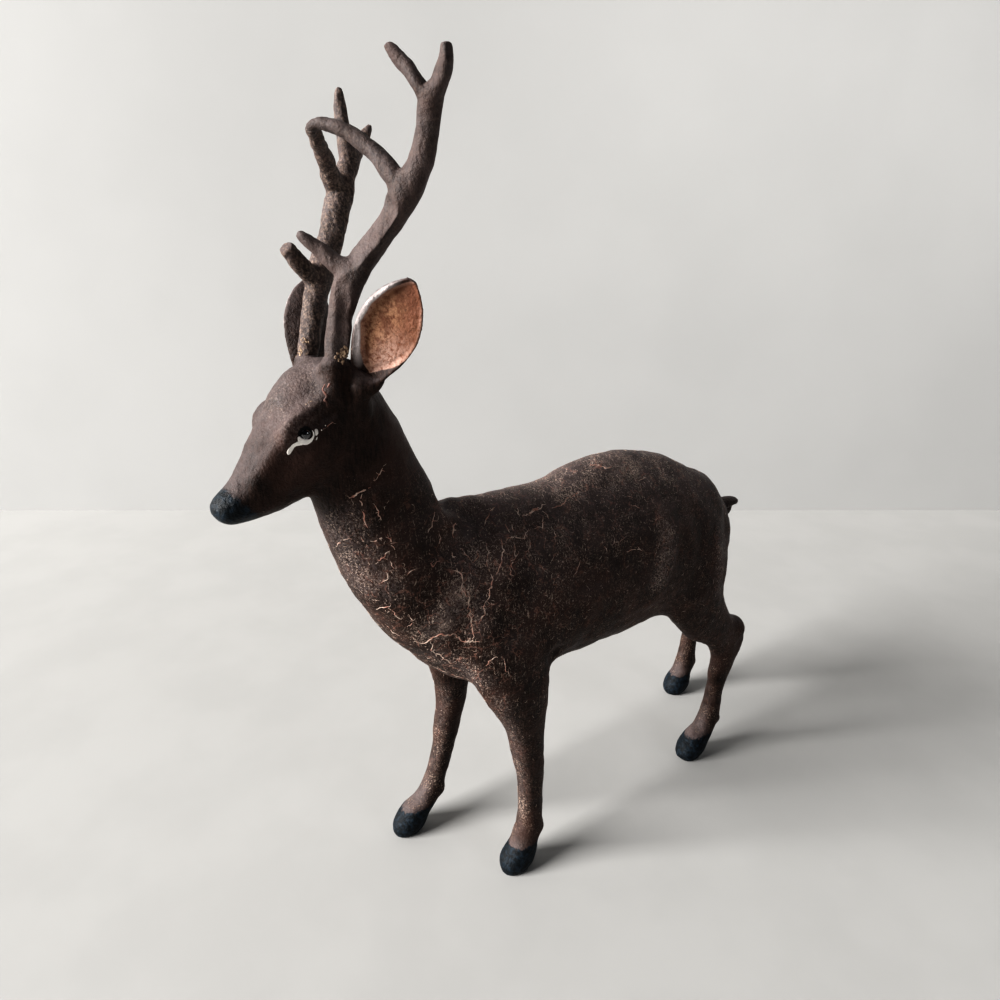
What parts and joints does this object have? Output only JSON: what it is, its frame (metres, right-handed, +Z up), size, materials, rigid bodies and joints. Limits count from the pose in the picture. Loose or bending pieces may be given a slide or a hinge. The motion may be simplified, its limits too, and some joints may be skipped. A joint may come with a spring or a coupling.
{
  "type": "papier-mache reindeer figure",
  "caption": "Walking reindeer of painted papier-mache with branched antlers, cupped ears, a short tail and bead eyes, standing on its own hooves.",
  "frame": {"origin": "middle of the underside of the whole figure's bounding box, on the floor", "axes": "+Z up, the head looks towards -Y, the figure's left side is +X"},
  "size_m": [0.0728, 0.268, 0.2959],
  "materials": {
    "body_paint": "dark brown paint on papier-mache, satin, with a dusty sheen and fine cracks",
    "antler_paint": "dark brown paint on papier-mache, satin",
    "ear_paint": "mottled orange-brown paint, matte",
    "eye_gloss": "black, high gloss"
  },
  "bodies": {
    "root": {"body": "body_paint", "antler_left": "antler_paint", "antler_right": "antler_paint", "ear_left": "ear_paint", "ear_right": "ear_paint", "tail": "body_paint", "eye_left": "eye_gloss", "eye_right": "eye_gloss"}
  },
  "joints": []
}
